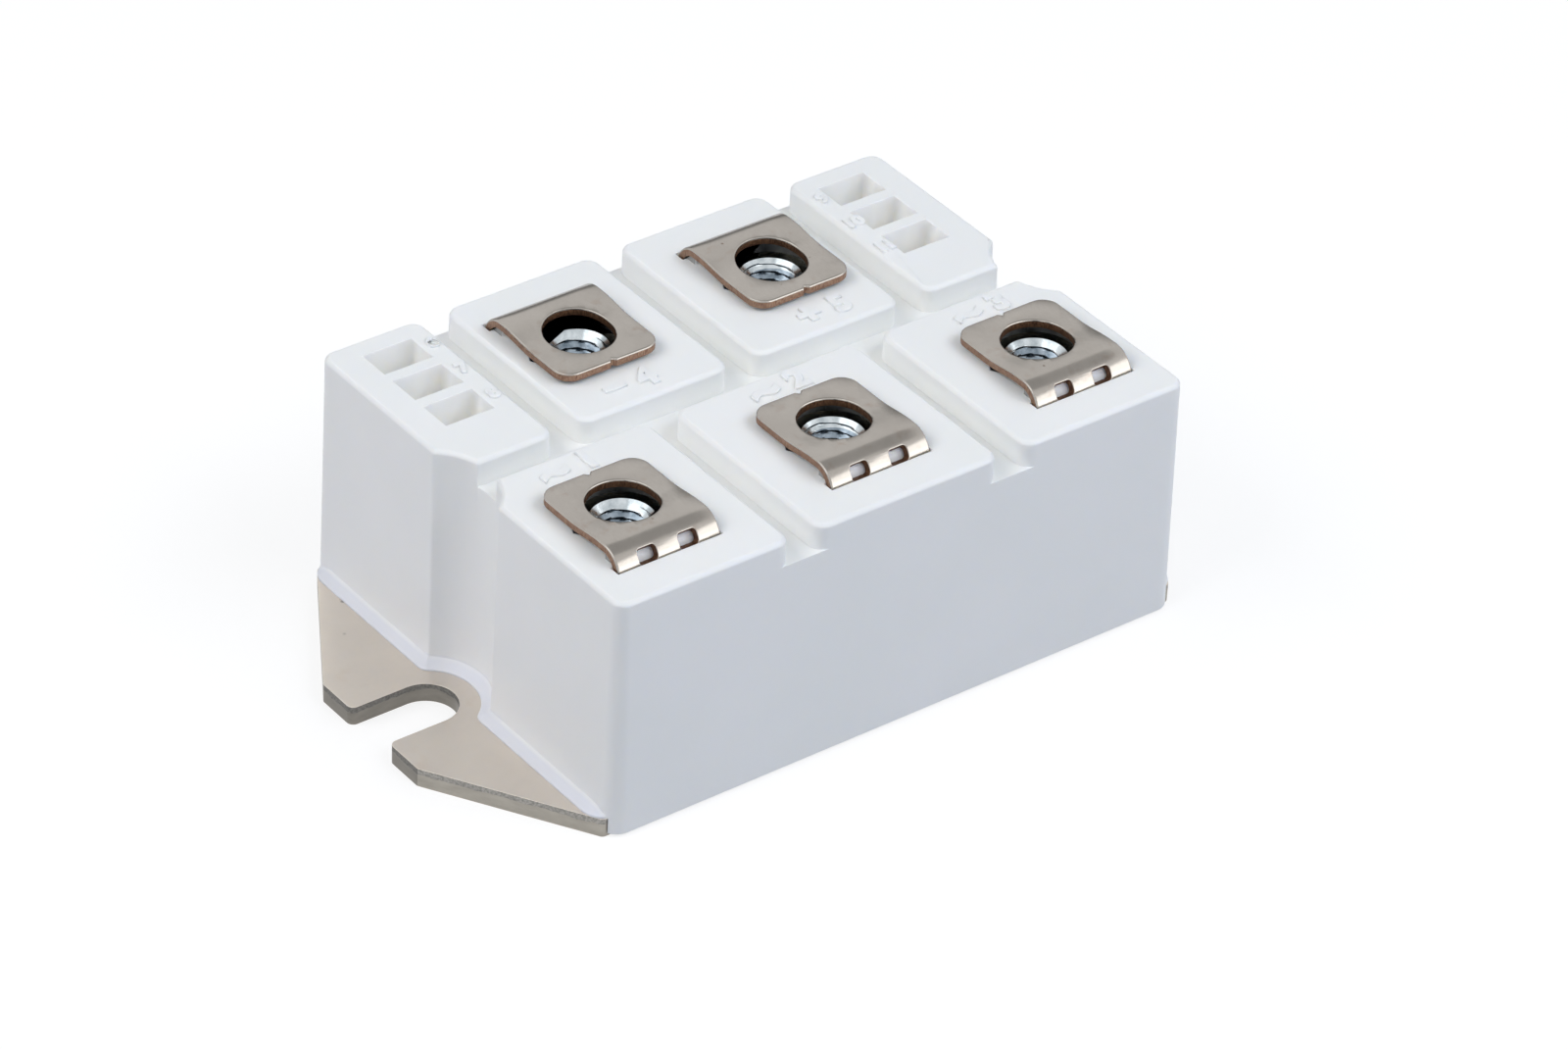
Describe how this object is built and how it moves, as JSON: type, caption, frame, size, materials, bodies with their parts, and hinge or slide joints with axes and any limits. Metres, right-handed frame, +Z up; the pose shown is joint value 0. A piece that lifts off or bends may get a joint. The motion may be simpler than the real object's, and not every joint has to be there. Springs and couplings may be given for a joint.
{
  "type": "three-phase bridge rectifier module",
  "caption": "Bridge rectifier power module: white moulded housing on a slotted metal base plate, with rolled screw terminals over captive nuts, turning three-phase current into direct current.",
  "frame": {"origin": "bottom centre of the base plate, in the plane that meets the heatsink", "axes": "+X along the plate from one mounting slot to the other, +Y from the row of three alternating-current terminals to the row of two direct-current terminals, +Z up out of the terminals"},
  "size_m": [0.094, 0.0536, 0.0302],
  "materials": {
    "plate_nickel": "copper plate with matt nickel plating, slightly warm and mottled, with bare punched edges",
    "housing_plastic": "white glass-filled polyester, satin and very finely grained",
    "adhesive": "cured white silicone adhesive",
    "solder": "dull soft solder",
    "copper": "bare copper, satin",
    "ceramic": "white alumina ceramic, matt",
    "silicon": "diced silicon with a smooth metallised top",
    "terminal_nickel": "nickel-plated copper strip, satin, with bare copper-brown cut edges",
    "nut_zinc": "bright blue-white zinc plating, turned",
    "gel": "soft clear silicone gel"
  },
  "bodies": {
    "root": {"base_plate": "plate_nickel", "diode_lower_1": "silicon", "diode_lower_2": "silicon", "diode_lower_3": "silicon", "diode_upper_1": "silicon", "diode_upper_2": "silicon", "diode_upper_3": "silicon", "housing": "housing_plastic", "housing_bond": "adhesive", "jumper_lower_1": "copper", "jumper_lower_2": "copper", "jumper_lower_3": "copper", "jumper_upper_1": "copper", "jumper_upper_2": "copper", "jumper_upper_3": "copper", "nut_ac_1": "nut_zinc", "nut_ac_2": "nut_zinc", "nut_ac_3": "nut_zinc", "nut_minus": "nut_zinc", "nut_plus": "nut_zinc", "silicone_gel": "gel", "substrate_backing": "copper", "substrate_ceramic": "ceramic", "substrate_solder": "solder", "terminal_ac_1": "terminal_nickel", "terminal_ac_2": "terminal_nickel", "terminal_ac_3": "terminal_nickel", "terminal_minus": "terminal_nickel", "terminal_plus": "terminal_nickel", "track_ac_1": "copper", "track_ac_2": "copper", "track_ac_3": "copper", "track_minus": "copper", "track_plus": "copper"}
  },
  "joints": []
}
